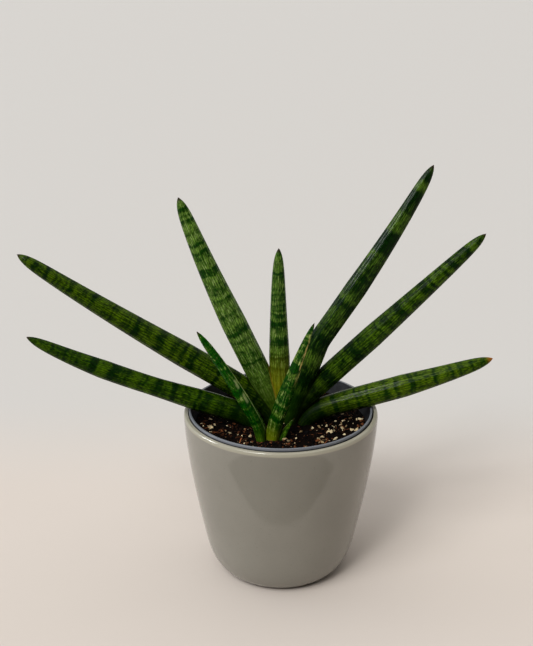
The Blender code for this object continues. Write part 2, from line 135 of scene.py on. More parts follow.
# Grains on the mix. A patch is a place, x and y, where perlite lies thick
SHAPES_OF_EACH = 5
CRUMB_LUMPS = 2.2
PEAT_SHAPE = ((1.0, 0.75, 0.6), 0.9)  # length, width and height, and roughness
PERLITE_SHAPE = ((1.0, 0.8, 0.65), 1.3)
FIBRE_SIDES = 4
FIBRE_STATIONS = (-0.5, -0.3, 0.0, 0.3, 0.5)
FIBRE_WIDTH = 0.09
FIBRE_TAPER = 1.6
FIBRE_FLATNESS = 0.45
STREWN_SLOPE = 0.35
STREWN_INSET = 0.0012
SIZE_SEED = 7
TONE_SEED = 3
PERLITE_PATCHES = ((-0.051, -0.011), (-0.041, -0.023), (-0.033, -0.03), (-0.027, -0.037),
                   (0.039, -0.014), (0.049, -0.016), (0.057, 0.002), (0.031, -0.031),
                   (0.003, -0.036), (0.012, -0.041), (-0.03, 0.04), (0.02, 0.047))
PATCH_REACH = 0.0045
PATCH_STRAYS = 0.12

# Shape that all leaves share
SKIN_GAP = 0.0002
CUTTER_SIDES = 64
CUTTER_REACH = 0.11
TIP_SHARE = 0.39
TIP_LENGTH = 0.0055
TAPER_POWER = 0.75
CURL_POWER = 2.5
FOOT_BEND_REACH = 0.02
CLASP_REACH = 0.034
FLARE_START = 0.04
FLARE_LENGTH = 0.065
CHANNEL_START = 0.012
KINK_LENGTH = 0.01
AXIS_STEP = 0.0005
RIB_START = 0.03
RIB_LENGTH = 0.03
BROAD_RIBS = 12
BROAD_RIB_DEPTH = 0.00011
VEIN_COUNT = 46
VEIN_DEPTH = 0.00005
CLASP_MARK = 0.0015
FAN_Y = 0.003
OFFSHOOT_Y = -0.027

# Pattern that all leaf skins share, in millimetres. A range gives the values where a mark
# starts and ends, and then the shares that it goes from and to
LEAF_SHINE = 0.11
LEAF_BUMP = 0.00012
LEAF_ROUGHNESS = (0.3, 0.7, 0.16, 0.26)
LEAF_NOISES = (  # scale along the leaf, waves to a millimetre, roughness
    (0.05, 0.75, 0.6),  # long streaks
    (0.16, 0.95, 0.6),  # dashes
    (0.3, 1.5, 0.6),  # grains
    (0.55, 0.13, 0.5),  # patches
    (0.75, 0.2, 0.55),  # blotches
)
BAND_SHIFT = 6.0
BAND_RAGGED = (0.45, 0.6, 0.38)  # by blotches, dashes and long streaks
GRAIN_TONES = (0.34, 0.66, 0.44, 1.46)
FLECK_DASHES = (0.54, 0.62)
LINE_COUNT = 28
LINE_WAVER = 2.6
LINE_WIDTH = (0.05, 0.75, 1.0, 0.0)
LINE_BREAKS = (0.8, 1.1, 0.25, 1.0)
LINE_SINK = 0.7
BASE_SOLID = 0.3
BASE_COVER = 0.92
BASE_BREAKS = (0.3, 0.6, 0.55, 1.0)
BASE_DULL = 0.35
CLASP_COVER = 0.8
EDGE_WIDTH = (0.06, 0.2, 1.0, 0.0)
EDGE_BREAKS = (0.35, 0.6, 0.3, 1.0)
SCAR_TURN = 1.15
SCAR_WIDTH = (0.15, 0.5, 1.0, 0.0)
SCAR_BREAKS = (0.3, 0.52)
SCAR_COVER = 0.55
DRY_MARGIN_EDGE = (1.17, 1.27)
DRY_MARGIN_STATIONS = (0.5, 0.74, 0.82, 0.95)  # shares of the leaf's length
DRY_RAGGED = 2.0
DRY_SOLID = 0.2
DRY_DULL = 0.3

# Finishes of the pots, the mix and the rhizome
NOISE_RANGE = (0.3, 0.7)  # where most of a noise lies
GLAZE_DARK = (0.262, 0.25, 0.216)
GLAZE_LIGHT = (0.277, 0.265, 0.229)
GLAZE_SPECK = (0.15, 0.142, 0.115)
# Painted light: the lip is paler, for the light and reflection that it catches from above
GLAZE_LIP_LIGHT = (0.43, 0.405, 0.315)
GLAZE_ROUGHNESS = (0.09, 0.13)
SPECK_RANGE = (0.66, 0.74, 0.0, 0.2)
LIT_LIP_FADE = (0.0034, 0.0022)  # depths under the top
LIT_LIP_COVER = 0.65
BARE_CLAY = (0.42, 0.36, 0.28)
CLAY_FADE = (0.0001, 0.0009)  # heights over the table
CLAY_ROUGHNESS = 0.6
PLASTIC_DARK = (0.017, 0.018, 0.022)
PLASTIC_LIGHT = (0.03, 0.032, 0.038)
# Painted sheen on the top and upper outer face of the nursery pot's rim
PLASTIC_RIM_SHEEN = (0.2, 0.212, 0.236)
PLASTIC_ROUGHNESS = (0.36, 0.52)
SCUFF_RANGE = (0.35, 0.7)
RIM_SHEEN_COVER = 0.9
RIM_SHEEN_OUTSIDE = (0.0009, 0.0003)  # depths inside the rim's radius
RIM_SHEEN_TOP = (0.0005, 0.0001)  # depths under the rim's top
# The painted sheen ends this far under the rim's top; below it the outer face stays dark, as in
# shade
RIM_SHEEN_LOWER_EDGE = (0.002, 0.0015)
# Near-black peat: dark peat, and painted shade where it shows between the crumbs
BLACK_PEAT_AND_SHADE = (0.0015, 0.001, 0.001)
MIX_PEAT_LIGHT = (0.012, 0.005, 0.003)
MIX_LUMP_RANGE = (0.35, 0.68)
GRIT_SHARE = 0.7  # how much of a crumb's tone its grain makes
PEAT = (BLACK_PEAT_AND_SHADE, (0.18, 0.07, 0.028))
BARK = ((0.01, 0.004, 0.002), (0.3, 0.11, 0.045))
PERLITE = ((0.3, 0.2, 0.095), (0.8, 0.68, 0.44))
RHIZOME_DARK = (0.33, 0.15, 0.045)
RHIZOME_LIGHT = (0.56, 0.38, 0.19)
CRUMB_SHARP = 25.0
POT_SHARP = 35.0
LEAF_SHARP = 50.0
MIX_SHARP = 60.0

# Floor, and the dark card that lies on it and shows in the glaze
FLOOR_RADIUS = 60.0
FLOOR_DROP = 0.00005
FLOOR_NEAR = ((0.625, 0.565, 0.512), (0.655, 0.592, 0.54))
FLOOR_FAR = (0.59, 0.57, 0.545)
FLOOR_FADE = (0.08, 0.32)
CARD_NEAR = -0.122
CARD_DEPTH = 0.6
CARD_WIDTH = 0.38
CARD_LIFT = 0.001
CARD_COLOUR = (0.06, 0.05, 0.04, 1.0)

# Light of the room, by the direction that it comes from
CEILING_FADE = (0.45, 0.95)
CEILING_LIGHT = 0.62
FAR_WALL_LIGHT = (-0.1, 0.6, 0.0, 0.36)
RIGHT_WALL_LIGHT = (0.75, 0.95, 0.0, 0.18)
SIDE_WINDOW_EDGE = (-0.95, -0.6, 1.0, 0.0)
SIDE_WINDOW_SILL = (-0.05, 0.1)
ROOM_LIGHT = 0.08
ROOM_WARMTH = (1.0, 0.985, 0.96)
SIDE_WINDOW = (0.56, 0.63, 0.72)
BACKDROP = (0.6, 0.585, 0.565)

# Lamps: where the light comes from, its power and its width in degrees
WINDOW_LIGHT = ((-0.42, -0.55, 0.74), 1.45, 32.0)
CEILING_LAMP = ((-0.32, -0.6, 0.7), 0.35, 9.0)
LOW_WINDOW = ((-0.88, 0.1, 0.44), 2.4, 26.0)


class Leaf(NamedTuple):
    """Driving dimensions of one leaf. Angles are in degrees and rise from +X toward +Z."""

    name: str
    foot: tuple  # x and z where the axis starts, on the rhizome
    heading: float  # direction of the straight part
    foot_bend: float  # extra heading at the foot, fading over FOOT_BEND_REACH
    curl: float  # extra heading at the tip
    length: float
    radius: float  # half thickness at the widest of the tapered part
    taper: float  # length of the tapered part, from the tip
    clasp: float  # half width of the base, across the fan
    flatten: float  # share of the thickness that the base loses in the fan's plane
    flare: float = 0.0  # extra half thickness of the lower part
    channel: float = 0.0  # depth of the groove on the inner side
    channel_reach: float = 0.07
    lean: float = 0.0  # angle out of the fan's plane, toward +Y
    roll: float = 0.0  # turn of the section about the leaf's axis, toward -Y
    kink_at: float = 0.0
    kink_turn: float = 0.0
    plane_y: float = FAN_Y
    sides: int = 184
    rings: int = 150


FAN_LEAVES = (
    Leaf("leaf_centre", (0.001, 0.106), 92.0, 0.0, -3.0, 0.1515, 0.0076, 0.085,
         clasp=0.0066, flatten=0.26, lean=-0.5),
    Leaf("leaf_tall_left", (-0.0054, 0.106), 115.5, -43.0, -6.5, 0.203, 0.0094, 0.102,
         clasp=0.0085, flatten=0.34, channel=0.0016, lean=0.5),
    Leaf("leaf_tall_right", (0.0069, 0.106), 69.5, 25.5, 7.5, 0.2375, 0.008, 0.105,
         clasp=0.0084, flatten=0.26, flare=0.0008, channel=0.0014, lean=-1.0,
         kink_at=0.083, kink_turn=-13.0),
    Leaf("leaf_mid_left", (-0.008, 0.11), 149.0, -78.0, -4.0, 0.242, 0.0095, 0.143,
         clasp=0.01, flatten=0.32, channel=0.0016, lean=1.5),
    Leaf("leaf_mid_right", (0.0116, 0.106), 44.0, 72.5, 1.0, 0.219, 0.0084, 0.112,
         clasp=0.0099, flatten=0.28, channel=0.002, lean=1.5),
    Leaf("leaf_low_left", (-0.0146, 0.107), 159.0, -49.5, -11.5, 0.1975, 0.0068, 0.06,
         clasp=0.0112, flatten=0.25, flare=0.002, channel=0.0012, lean=-8.0),
    Leaf("leaf_low_right", (0.016, 0.106), 16.0, 75.0, 5.5, 0.1655, 0.0085, 0.07,
         clasp=0.0112, flatten=0.25, channel=0.0012, lean=-1.0),
)

OFFSHOOT_LEAVES = (
    Leaf("offshoot_leaf_right", (-0.008, 0.107), 73.0, 13.5, -4.5, 0.1115, 0.0041, 0.06,
         clasp=0.0058, flatten=0.0, flare=0.0014, channel=0.0022, channel_reach=0.105,
         lean=-4.0, roll=50.0, plane_y=OFFSHOOT_Y, sides=120, rings=110),
    Leaf("offshoot_leaf_left", (-0.0125, 0.107), 118.0, -27.0, 6.0, 0.1125, 0.0049, 0.068,
         clasp=0.0076, flatten=0.0, channel=0.0022, channel_reach=0.105,
         lean=-4.0, roll=25.0, plane_y=OFFSHOOT_Y, sides=120, rings=110),
    Leaf("offshoot_sheath_leaf", (-0.003, 0.109), 45.5, 31.0, 8.0, 0.0312, 0.0019, 0.024,
         clasp=0.0066, flatten=-0.8, lean=-3.0, roll=15.0, plane_y=OFFSHOOT_Y, sides=72, rings=60),
)


class Skin(NamedTuple):
    """Colours and pattern of one leaf's skin. Lengths are in millimetres, angles in radians."""

    dark: tuple
    light: tuple
    base: tuple
    base_reach: float
    band: float  # mean length of a cross-band
    balance: float  # above 0.5 the light bands win
    seed: float
    softness: float = 0.21
    lines: float = 0.8  # how dark the fine lines along the leaf are
    fleck: tuple = (0.12, 0.18, 0.02)
    flecks: float = 0.35
    clasp: tuple = (0.02, 0.035, 0.003)  # the thin edge where it wraps its neighbour
    tip: float = 3.0
    tip_colour: tuple = (0.03, 0.018, 0.008)
    edge_turn: float = 0.0  # where a thin pale edge runs, round the section
    edge: float = 0.0
    dry_edge: float = 0.0
    scars: tuple = ()  # distance from the foot and length of each pale scar


DEEP_GREEN = (0.0024, 0.0185, 0.0005)
# Painted shade: the lower part of a leaf, down in the pot, is darkened as where the rim and other
# leaves shade it
SHADED_BASE = (0.004, 0.02, 0.0006)
YELLOW_HEART = (0.3, 0.29, 0.008)
YELLOW_BROWN = (0.5, 0.34, 0.04)
DRY_ORANGE = (0.3, 0.11, 0.02)
DRY_CREAM = (0.54, 0.43, 0.15)
PALE_EDGE = (0.44, 0.48, 0.24)

SKINS = {
    "leaf_centre": Skin(
        (0.0035, 0.038, 0.0006), (0.1, 0.185, 0.026), YELLOW_HEART, 84, 6.5, 0.5, 1.7,
        fleck=(0.26, 0.33, 0.11), flecks=0.7),
    "leaf_tall_left": Skin(
        (0.007, 0.047, 0.001), (0.125, 0.215, 0.036), (0.06, 0.105, 0.004), 78, 7, 0.55, 12.4,
        fleck=(0.25, 0.34, 0.12), flecks=0.8, clasp=YELLOW_BROWN),
    # Painted shade: the base of this leaf is darkened as in the pot's shade
    "leaf_tall_right": Skin(
        DEEP_GREEN, (0.076, 0.14, 0.014), (0.012, 0.045, 0.001), 60, 17, 0.42, 23.1,
        fleck=(0.11, 0.17, 0.03), flecks=0.3),
    "leaf_mid_left": Skin(
        DEEP_GREEN, (0.064, 0.114, 0.001), SHADED_BASE, 56, 7, 0.52, 34.9, lines=0.88),
    "leaf_mid_right": Skin(DEEP_GREEN, (0.062, 0.122, 0.004), SHADED_BASE, 56, 9, 0.48, 45.2),
    "leaf_low_left": Skin(
        (0.004, 0.024, 0.001), (0.052, 0.106, 0.001), SHADED_BASE, 50, 9, 0.5, 56.8,
        flecks=0.2, lines=0.7),
    "leaf_low_right": Skin(
        (0.006, 0.03, 0.001), (0.082, 0.136, 0.003), SHADED_BASE, 52, 7.5, 0.54, 67.3,
        tip=5.0, tip_colour=DRY_ORANGE),
    "offshoot_leaf_right": Skin(
        (0.006, 0.056, 0.001), (0.12, 0.2, 0.03), (0.22, 0.26, 0.008), 30, 6.5, 0.4, 78.6,
        lines=0.5, fleck=(0.42, 0.48, 0.18), flecks=0.9, dry_edge=0.9),
    "offshoot_leaf_left": Skin(
        (0.004, 0.07, 0.0008), (0.07, 0.165, 0.012), (0.08, 0.15, 0.005), 30, 6, 0.4, 89.5,
        lines=0.5, fleck=(0.4, 0.45, 0.18), flecks=0.6, edge_turn=2.05, edge=0.6,
        scars=((63.0, 8.0), (50.0, 9.0))),
    "offshoot_sheath_leaf": Skin(
        (0.008, 0.05, 0.001), (0.09, 0.17, 0.01), (0.03, 0.08, 0.003), 20, 6, 0.5, 97.1,
        lines=0.45, edge_turn=1.9, edge=0.8),
}


def smoothstep(value):
    value = np.clip(value, 0.0, 1.0)
    return value * value * (3.0 - 2.0 * value)


def add_object(name, mesh):
    obj = bpy.data.objects.new(name, mesh)
    bpy.context.scene.collection.objects.link(obj)
    return obj


def drop(*objects):
    for obj in objects:
        bpy.data.objects.remove(obj, do_unlink=True)


def make_plain(obj):
    """Replaces the object's mesh by what its modifiers make of it."""
    bpy.context.view_layer.update()
    depsgraph = bpy.context.evaluated_depsgraph_get()
    mesh = bpy.data.meshes.new_from_object(obj.evaluated_get(depsgraph))
    obj.modifiers.clear()
    old = obj.data
    obj.data = mesh
    bpy.data.meshes.remove(old)
    mesh.name = obj.name


def finish_piece(obj, nodes, sharp):
    """Smooths the piece between edges sharper than the angle, and ties it to the frame."""
    obj.data.shade_smooth()
    obj.data.set_sharp_from_angle(angle=math.radians(sharp))
    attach(obj, "root")
    if nodes:
        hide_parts(*nodes)


class Tree:
    """Short calls that lay out a node tree."""

    def __init__(self, tree):
        self.tree = tree

    def add(self, kind, inputs=None, **settings):
        node = self.tree.nodes.new(kind)
        for name, value in settings.items():
            setattr(node, name, value)
        for name, value in (inputs or {}).items():
            self.feed(node.inputs[name], value)
        return node

    def feed(self, socket, value):
        if isinstance(value, bpy.types.NodeSocket):
            self.tree.links.new(value, socket)
        else:
            socket.default_value = value

    def operate(self, kind, operation, values):
        node = self.add(kind, operation=operation)
        for socket, value in zip(node.inputs, values):
            self.feed(socket, value)
        return node.outputs[0]

    def math(self, operation, *values):
        return self.operate("ShaderNodeMath", operation, values)

    def vector(self, operation, *values):
        return self.operate("ShaderNodeVectorMath", operation, values)

    def times(self, first, second):
        return self.math("MULTIPLY", first, second)

    def plus(self, first, second):
        return self.math("ADD", first, second)

    def minus(self, first, second):
        return self.math("SUBTRACT", first, second)

    def scaled(self, value, factor, offset):
        return self.math("MULTIPLY_ADD", value, factor, offset)

    def gap(self, first, second):
        return self.math("ABSOLUTE", self.minus(first, second))

    def size(self, x, y):
        return self.math("POWER", self.plus(self.times(x, x), self.times(y, y)), 0.5)

    def split(self, vector):
        return self.add("ShaderNodeSeparateXYZ", {"Vector": vector}).outputs

    def join(self, x, y, z):
        return self.add("ShaderNodeCombineXYZ", {"X": x, "Y": y, "Z": z}).outputs[0]

    def object_place(self):
        return self.add("ShaderNodeTexCoord").outputs["Object"]

    def attribute(self, name, output):
        """A value of the mesh, read by a material."""
        return self.add("ShaderNodeAttribute", attribute_name=name).outputs[output]

    def stored(self, name, kind):
        """A value of the mesh, read by a geometry tree."""
        node = self.add("GeometryNodeInputNamedAttribute", {"Name": name}, data_type=kind)
        return node.outputs["Attribute"]

    def random_share(self, seed):
        return self.add("FunctionNodeRandomValue", {"Seed": seed}, data_type="FLOAT").outputs[1]

    def noise(self, place, scale, detail=2.0, roughness=0.5, distortion=0.0):
        inputs = {"Vector": place, "Scale": scale, "Detail": detail, "Roughness": roughness,
                  "Distortion": distortion}
        return self.add("ShaderNodeTexNoise", inputs).outputs["Fac"]

    def noise_along(self, distance, detail, roughness):
        inputs = {"W": distance, "Scale": 1.0, "Detail": detail, "Roughness": roughness}
        return self.add("ShaderNodeTexNoise", inputs, noise_dimensions="1D").outputs["Fac"]

    def spread(self, value, low, high, to_low=0.0, to_high=1.0):
        """Maps low..high to to_low..to_high with soft ends."""
        inputs = {"Value": value, "From Min": low, "From Max": high, "To Min": to_low,
                  "To Max": to_high}
        node = self.add("ShaderNodeMapRange", inputs, interpolation_type="SMOOTHSTEP")
        return node.outputs["Result"]

    def grey(self, value):
        levels = {"Red": value, "Green": value, "Blue": value}
        return self.add("ShaderNodeCombineColor", levels).outputs["Color"]

    def mix(self, share, first, second, blend="MIX"):
        """A blend of two colours. A plain colour is given as three numbers."""
        node = self.add("ShaderNodeMix", data_type="RGBA", blend_type=blend)
        self.feed(node.inputs["Factor"], share)
        for socket, colour in ((node.inputs[6], first), (node.inputs[7], second)):
            if isinstance(colour, tuple):
                colour = (*colour, 1.0)
            self.feed(socket, colour)
        return node.outputs[2]


def new_material(name, roughness=0.5):
    material = bpy.data.materials.new(name)
    material.use_nodes = True
    shader = material.node_tree.nodes["Principled BSDF"]
    shader.inputs["Roughness"].default_value = roughness
    return material, Tree(material.node_tree), shader


def bump(tree, shader, height, distance, strength):
    inputs = {"Height": height, "Distance": distance, "Strength": strength}
    node = tree.add("ShaderNodeBump", inputs)
    tree.feed(shader.inputs["Normal"], node.outputs["Normal"])


def leaf_noises(tree, grown, seed):
    """Long streaks, dashes, grains, patches and blotches, all drawn out along the leaf."""
    seeded = tree.vector("ADD", grown, (seed, seed * 2.0, seed * 3.0))
    noises = []
    for along_share, waves, roughness in LEAF_NOISES:
        place = tree.vector("MULTIPLY", seeded, (1.0, 1.0, along_share))
        noises.append(tree.noise(place, waves, 2.0, roughness))
    return noises


def light_bands(tree, skin, along, noises):
    """1 in the light cross-bands and 0 in the dark ones, with ragged edges between them."""
    long_streaks, dashes, _, patches, blotches = noises
    shifted = tree.scaled(patches, BAND_SHIFT, along)
    ragged = tree.noise_along(tree.scaled(shifted, 1.0 / skin.band, skin.seed), 2.0, 0.6)
    for spots, weight in zip((blotches, dashes, long_streaks), BAND_RAGGED):
        ragged = tree.scaled(tree.minus(spots, 0.5), weight, ragged)
    middle = 1.0 - skin.balance
    return tree.spread(ragged, middle - skin.softness, middle + skin.softness)


def fine_lines(tree, angle, noises):
    """1 on the fine lines along the leaf, which waver and break off here and there."""
    long_streaks, dashes, grains, _, _ = noises
    turn = tree.scaled(long_streaks, LINE_WAVER, tree.times(angle, LINE_COUNT / 2))
    line = tree.spread(tree.math("ABSOLUTE", tree.math("SINE", turn)), *LINE_WIDTH)
    return tree.times(line, tree.spread(tree.plus(grains, dashes), *LINE_BREAKS))


def pale_edge(tree, skin, angle, dashes):
    """A thin line at one place round the section."""
    rim = tree.spread(tree.gap(angle, skin.edge_turn), *EDGE_WIDTH)
    rim = tree.times(rim, tree.spread(dashes, *EDGE_BREAKS))
    return tree.times(rim, skin.edge)


def scar(tree, centre, reach, along, angle, dashes):
    """A healed graze, longer along the leaf than across it."""
    lengthwise = tree.spread(tree.gap(along, centre), 0.3 * reach, 0.6 * reach, 1.0, 0.0)
    sideways = tree.spread(tree.gap(angle, SCAR_TURN), *SCAR_WIDTH)
    mark = tree.times(tree.times(lengthwise, sideways), tree.spread(dashes, *SCAR_BREAKS))
    return tree.times(mark, SCAR_COVER)


def dry_margin(tree, skin, end, along, angle, dashes):
    """A ragged dry strip along one edge, from the middle of the leaf to near its tip."""
    side = tree.spread(tree.scaled(dashes, 0.5, tree.math("COSINE", angle)), *DRY_MARGIN_EDGE)
    fade_in, solid, thinning, gone = (share * end for share in DRY_MARGIN_STATIONS)
    reach = tree.times(tree.spread(along, fade_in, solid),
                       tree.spread(along, thinning, gone, 1.0, 0.0))
    return tree.times(side, tree.times(reach, skin.dry_edge))


def leaf_skin(leaf):
    """Dark green with ragged lighter cross-bands, fine lines, a base colour and a dry tip. On
    several leaves the base colour is painted shade down in the pot.
    """
    skin = SKINS[leaf.name]
    end = leaf.length / MM
    material, tree, shader = new_material(f"{leaf.name} skin")
    shader.inputs["Specular IOR Level"].default_value = LEAF_SHINE
    grown = tree.attribute("grown", "Vector")
    across, depth, along = tree.split(grown)
    angle = tree.math("ARCTAN2", depth, across)
    noises = leaf_noises(tree, grown, skin.seed)
    light = light_bands(tree, skin, along, noises)
    line = fine_lines(tree, angle, noises)
    _, dashes, grains, _, _ = noises
    colour = tree.mix(light, skin.dark, skin.light)
    colour = tree.mix(1.0, colour, tree.grey(tree.spread(grains, *GRAIN_TONES)), "MULTIPLY")
    fleck = tree.times(tree.spread(dashes, *FLECK_DASHES), tree.times(light, light))
    colour = tree.mix(tree.times(fleck, skin.flecks), colour, skin.fleck)
    colour = tree.mix(tree.times(line, skin.lines), colour, skin.dark)
    # The base colour: the leaf's own yellow on some leaves, painted shade near the soil on others
    near_base = tree.spread(along, BASE_SOLID * skin.base_reach, skin.base_reach, BASE_COVER, 0.0)
    near_base = tree.times(near_base, tree.spread(dashes, *BASE_BREAKS))
    colour = tree.mix(near_base, colour, skin.base)
    clasp = tree.attribute("margin", "Fac")
    colour = tree.mix(tree.times(clasp, CLASP_COVER), colour, skin.clasp)
    if skin.edge:
        colour = tree.mix(pale_edge(tree, skin, angle, dashes), colour, PALE_EDGE)
    for centre, reach in skin.scars:
        colour = tree.mix(scar(tree, centre, reach, along, angle, dashes), colour, PALE_EDGE)
    if skin.dry_edge:
        colour = tree.mix(dry_margin(tree, skin, end, along, angle, dashes), colour, DRY_CREAM)
    dry = tree.spread(tree.scaled(dashes, DRY_RAGGED, along), end - skin.tip,
                      end - DRY_SOLID * skin.tip + DRY_RAGGED / 2)
    colour = tree.mix(dry, colour, skin.tip_colour)
    tree.feed(shader.inputs["Base Color"], colour)
    dull = tree.math("MAXIMUM", tree.times(near_base, BASE_DULL), tree.times(dry, DRY_DULL))
    tree.feed(shader.inputs["Roughness"], tree.plus(dull, tree.spread(grains, *LEAF_ROUGHNESS)))
    bump(tree, shader, tree.scaled(line, -LINE_SINK, grains), LEAF_BUMP, 0.6)
    return material


def taupe_glaze():
    """Glossy fired glaze with painted light and reflection on the lip, and bare clay under the
    foot.
    """
    material, tree, shader = new_material("taupe glaze")
    place = tree.object_place()
    height = tree.split(place)[2]
    clouds = tree.noise(place, 22.0, 3.0)
    specks = tree.noise(place, 900.0, 1.0)
    colour = tree.mix(tree.spread(clouds, *NOISE_RANGE), GLAZE_DARK, GLAZE_LIGHT)
    colour = tree.mix(tree.spread(specks, *SPECK_RANGE), colour, GLAZE_SPECK)
    # Painted light and reflection: the top of the lip is paler than the body
    lip = tree.spread(height, *(COVER_HEIGHT - depth for depth in LIT_LIP_FADE))
    colour = tree.mix(tree.times(lip, LIT_LIP_COVER), colour, GLAZE_LIP_LIGHT)
    clay = tree.spread(height, *CLAY_FADE, 1.0, 0.0)
    colour = tree.mix(clay, colour, BARE_CLAY)
    tree.feed(shader.inputs["Base Color"], colour)
    gloss = tree.spread(clouds, *NOISE_RANGE, *GLAZE_ROUGHNESS)
    tree.feed(shader.inputs["Roughness"], tree.scaled(clay, CLAY_ROUGHNESS, gloss))
    orange_peel = tree.noise(place, 160.0)
    bump(tree, shader, orange_peel, 0.00004, 0.25)
    return material


def charcoal_plastic():
    """Thin moulded plastic, dull, with a painted sheen along the rim that stops short of the lower
    outer face, left dark as in shade.
    """
    material, tree, shader = new_material("charcoal plastic")
    place = tree.object_place()
    scuffs = tree.noise(place, 420.0, 3.0, 0.65, 0.6)
    grain = tree.noise(place, 3200.0, 1.0)
    colour = tree.mix(tree.spread(scuffs, *SCUFF_RANGE), PLASTIC_DARK, PLASTIC_LIGHT)
    x, y, height = tree.split(tree.vector("SUBTRACT", place, (NURSERY_SHIFT, 0.0, 0.0)))
    # Painted sheen: the rim's top and upper outer face are paler, and lower down the outer face
    # stays dark as in shade
    outside = tree.spread(tree.size(x, y), *(NURSERY_RIM_RADIUS - gap for gap in RIM_SHEEN_OUTSIDE))
    top = tree.spread(height, *(nursery_high.z - gap for gap in RIM_SHEEN_TOP))
    upper = tree.spread(height, *(nursery_high.z - gap for gap in RIM_SHEEN_LOWER_EDGE))
    rim = tree.math("MAXIMUM", tree.times(outside, upper), top)
    colour = tree.mix(tree.times(rim, RIM_SHEEN_COVER), colour, PLASTIC_RIM_SHEEN)
    tree.feed(shader.inputs["Base Color"], colour)
    tree.feed(shader.inputs["Roughness"], tree.spread(scuffs, *NOISE_RANGE, *PLASTIC_ROUGHNESS))
    bump(tree, shader, grain, 0.00005, 0.5)
    return material


def shaded_mix():
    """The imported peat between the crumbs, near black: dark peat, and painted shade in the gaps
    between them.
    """
    material, tree, shader = new_material("damp potting mix", 0.95)
    shader.inputs["Specular IOR Level"].default_value = 0.1
    lumps = tree.noise(tree.object_place(), 700.0, 4.0, 0.7)
    colour = tree.mix(tree.spread(lumps, *MIX_LUMP_RANGE), BLACK_PEAT_AND_SHADE, MIX_PEAT_LIGHT)
    tree.feed(shader.inputs["Base Color"], colour)
    bump(tree, shader, lumps, 0.0008, 0.8)
    return material


def crumb_finish(name, tones, roughness, darken, grain=2200.0):
    """Each crumb has its own tone between a dark and a light one, with a rough grain."""
    material, tree, shader = new_material(name, roughness)
    shader.inputs["Specular IOR Level"].default_value = 0.15
    tone = tree.math("POWER", tree.attribute("tone", "Fac"), darken)
    grit = tree.noise(tree.object_place(), grain, 3.0, 0.65)
    share = tree.scaled(tree.minus(grit, 0.5), GRIT_SHARE, tone)
    tree.feed(shader.inputs["Base Color"], tree.mix(tree.spread(share, 0.0, 1.0), *tones))
    bump(tree, shader, grit, 0.0003, 0.7)
    return material


def rhizome_finish():
    """Dull tan skin with faint rings."""
    material, tree, shader = new_material("rhizome skin", 0.6)
    place = tree.vector("MULTIPLY", tree.object_place(), (1.0, 1.0, 4.0))
    rings = tree.noise(place, 260.0, 3.0, 0.6)
    colour = tree.mix(tree.spread(rings, *NOISE_RANGE), RHIZOME_DARK, RHIZOME_LIGHT)
    tree.feed(shader.inputs["Base Color"], colour)
    bump(tree, shader, rings, 0.0004, 0.6)
    return material


def leaf_heading(leaf, along):
    heading = leaf.heading + leaf.foot_bend * np.exp(-(along / FOOT_BEND_REACH) ** 2)
    heading = heading + leaf.curl * (along / leaf.length) ** CURL_POWER
    if leaf.kink_turn:
        heading = heading + leaf.kink_turn * smoothstep((along - leaf.kink_at) / KINK_LENGTH + 0.5)
    return np.radians(heading)


def leaf_axis(leaf, stations):
    """Points of the leaf's axis from its foot, one for each distance in stations."""
    lean = math.radians(leaf.lean)
    fine = np.arange(0.0, leaf.length + AXIS_STEP, AXIS_STEP)
    heading = leaf_heading(leaf, np.clip(fine[:-1] + AXIS_STEP / 2, 0.0, leaf.length))
    run = np.concatenate([[0.0], np.cumsum(np.cos(heading)) * AXIS_STEP * math.cos(lean)])
    rise = np.concatenate([[0.0], np.cumsum(np.sin(heading)) * AXIS_STEP * math.cos(lean)])
    x = leaf.foot[0] + np.interp(stations, fine, run)
    z = leaf.foot[1] + np.interp(stations, fine, rise)
    y = leaf.plane_y + stations * math.sin(lean)
    return np.stack([x, y, z], axis=1)


def leaf_section(leaf, along):
    """Half thickness, half width and groove depth at distances from the foot."""
    from_tip = np.maximum(leaf.length - along, 0.0)
    swell = TIP_SHARE * (1.0 - np.exp(-from_tip / TIP_LENGTH))
    swell += (1.0 - TIP_SHARE) * np.minimum(1.0, from_tip / leaf.taper) ** TAPER_POWER
    radius = leaf.radius * swell
    radius += leaf.flare * (1.0 - smoothstep((along - FLARE_START) / FLARE_LENGTH))
    base = 1.0 - smoothstep(along / CLASP_REACH)
    thick = radius * (1.0 - leaf.flatten * base)
    wide = radius + (leaf.clasp - radius) * base
    groove = leaf.channel * smoothstep(along / CHANNEL_START) * swell
    groove *= 1.0 - smoothstep((along - CHANNEL_START) / (leaf.channel_reach - CHANNEL_START))
    return thick, wide, groove


def leaf_rings(leaf, stations, sides, grow=0.0):
    """All sections of the leaf as points, and each point's place on the straightened leaf."""
    centres = leaf_axis(leaf, stations)[:, None, :]
    thick, wide, groove = (size[:, None] for size in leaf_section(leaf, stations))
    heading = leaf_heading(leaf, stations)
    side = 1.0 if leaf.heading < 90.0 else -1.0
    inward = np.stack([-side * np.sin(heading), 0 * heading, side * np.cos(heading)], axis=1)
    across = np.array([0.0, -1.0, 0.0])[None, :]
    roll = math.radians(leaf.roll)
    inward, across = (inward * math.cos(roll) + across * math.sin(roll),
                      across * math.cos(roll) - inward * math.sin(roll))
    angle = (2.0 * np.pi * np.arange(sides) / sides)[None, :]
    if grow:
        groove = 0.0 * groove
    depth = (thick + grow) * np.sin(angle) - groove * np.maximum(0.0, np.sin(angle)) ** 3
    width = (wide + grow) * np.cos(angle)
    points = centres + inward[:, None, :] * depth[..., None]
    points = points + across[:, None, :] * width[..., None]
    distance = np.broadcast_to(stations[:, None], depth.shape)
    grown = np.stack([width, depth, distance], axis=-1) / MM
    return points, grown


def crowded_stations(length, count, crowding):
    """Distances from 0 almost to length, closer together at both ends."""
    share = np.arange(count) / count
    return length * (share - crowding * np.sin(2.0 * np.pi * share) / (2.0 * np.pi))


